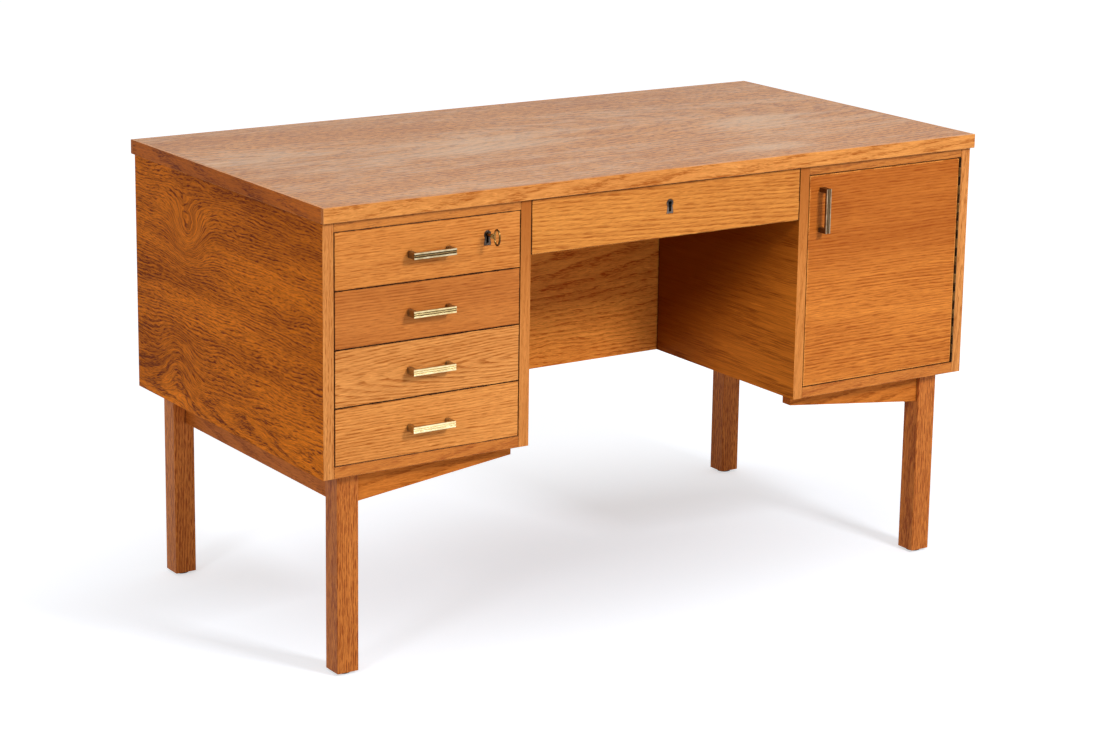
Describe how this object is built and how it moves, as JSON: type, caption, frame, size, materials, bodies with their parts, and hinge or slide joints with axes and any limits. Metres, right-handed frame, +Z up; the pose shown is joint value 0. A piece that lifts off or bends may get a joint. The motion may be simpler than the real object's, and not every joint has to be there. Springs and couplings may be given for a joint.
{
  "type": "writing desk",
  "caption": "Writing desk with a drawer pedestal, a door cupboard, a wide drawer over the kneehole and square legs with tapered rails.",
  "frame": {"origin": "on the floor, under the middle of the desk's bounding box (handles and key included)", "axes": "+X to the right as the sitter sees it, +Y from the sitter to the back, +Z up"},
  "size_m": [1.225, 0.655, 0.72],
  "materials": {
    "oak_top": "satin lacquered oak veneer, grain along X",
    "oak_lipping": "satin lacquered solid oak",
    "oak_side": "satin lacquered oak veneer, grain along Y",
    "oak_board": "satin lacquered oak veneer, grain along X",
    "oak_back": "satin lacquered oak veneer, grain along X",
    "oak_solid": "satin lacquered solid oak",
    "oak_front": "satin lacquered oak veneer, grain along X",
    "box_wood": "bare pale hardwood",
    "bottom_board": "thin plywood",
    "handle_brass": "aged satin brass",
    "lock_steel": "plain steel",
    "escutcheon_nickel": "tarnished nickelled steel",
    "key_brass": "worn brass",
    "hinge_brass": "dull brass",
    "catch_plastic": "dark brown",
    "glide_plastic": "dark brown"
  },
  "bodies": {
    "desk": {"top_panel": "oak_top", "top_lippings": "oak_lipping", "side_left_outer": "oak_side", "side_left_inner": "oak_side", "side_right_inner": "oak_side", "side_right_outer": "oak_side", "floor_board_left": "oak_board", "floor_board_right": "oak_board", "front_rails": "oak_board", "modesty_panel": "oak_board", "niche_board": "oak_board", "cupboard_shelf": "oak_board", "back_panel_left": "oak_back", "back_panel_right": "oak_back", "leg_front_left": "oak_solid", "leg_front_right": "oak_solid", "leg_rear_left": "oak_solid", "leg_rear_right": "oak_solid", "side_rail_left": "oak_solid", "side_rail_right": "oak_solid", "tapered_rail_front_left": "oak_solid", "tapered_rail_front_right": "oak_solid", "tapered_rail_rear_left": "oak_solid", "tapered_rail_rear_right": "oak_solid", "drawer_runners": "box_wood", "shelf_pins": "lock_steel", "hinge_leaf_carcass": "hinge_brass", "hinge_pin": "hinge_brass", "door_catch": "catch_plastic", "glides": "glide_plastic"},
    "drawer_1": {"drawer_1_front": "oak_front", "drawer_1_box": "box_wood", "drawer_1_bottom": "bottom_board", "drawer_1_handle": "handle_brass", "drawer_lock_case": "lock_steel", "drawer_escutcheon": "escutcheon_nickel"},
    "drawer_2": {"drawer_2_front": "oak_front", "drawer_2_box": "box_wood", "drawer_2_bottom": "bottom_board", "drawer_2_handle": "handle_brass"},
    "drawer_3": {"drawer_3_front": "oak_front", "drawer_3_box": "box_wood", "drawer_3_bottom": "bottom_board", "drawer_3_handle": "handle_brass"},
    "drawer_4": {"drawer_4_front": "oak_front", "drawer_4_box": "box_wood", "drawer_4_bottom": "bottom_board", "drawer_4_handle": "handle_brass"},
    "middle_drawer": {"middle_drawer_front": "oak_front", "middle_drawer_box": "box_wood", "middle_drawer_bottom": "bottom_board", "middle_lock_case": "lock_steel", "middle_escutcheon": "escutcheon_nickel"},
    "door": {"door_panel": "oak_front", "door_handle": "handle_brass", "catch_plate": "lock_steel", "hinge_leaf_door": "hinge_brass"},
    "turning_key": {"key": "key_brass"},
    "drawer_bolt": {"drawer_lock_bolt": "lock_steel"},
    "middle_bolt": {"middle_lock_bolt": "lock_steel"}
  },
  "joints": [
    {"name": "drawer_1_slide", "type": "slide", "parent": "desk", "child": "drawer_1", "axis": [0, -1, 0], "range_m": [0, 0.375]},
    {"name": "drawer_2_slide", "type": "slide", "parent": "desk", "child": "drawer_2", "axis": [0, -1, 0], "range_m": [0, 0.375]},
    {"name": "drawer_3_slide", "type": "slide", "parent": "desk", "child": "drawer_3", "axis": [0, -1, 0], "range_m": [0, 0.375]},
    {"name": "drawer_4_slide", "type": "slide", "parent": "desk", "child": "drawer_4", "axis": [0, -1, 0], "range_m": [0, 0.375]},
    {"name": "middle_drawer_slide", "type": "slide", "parent": "desk", "child": "middle_drawer", "axis": [0, -1, 0], "range_m": [0, 0.267]},
    {"name": "door_hinge", "type": "hinge", "parent": "desk", "child": "door", "pos_m": [0.5895, -0.2925, 0.5075], "axis": [0, 0, 1], "range_deg": [0, 165]},
    {"name": "key_turn", "type": "hinge", "parent": "drawer_1", "child": "turning_key", "pos_m": [-0.332, -0.2925, 0.6512], "axis": [0, 1, 0], "range_deg": [0, 360]},
    {"name": "drawer_bolt_slide", "type": "slide", "parent": "drawer_1", "child": "drawer_bolt", "axis": [0, 0, 1], "range_m": [0, 0.007]},
    {"name": "middle_bolt_slide", "type": "slide", "parent": "middle_drawer", "child": "middle_bolt", "axis": [0, 0, 1], "range_m": [0, 0.007]}
  ],
  "couplings": [
    {"joint": "key_turn", "follows": "drawer_bolt_slide", "rad_per_m": 897.6}
  ]
}
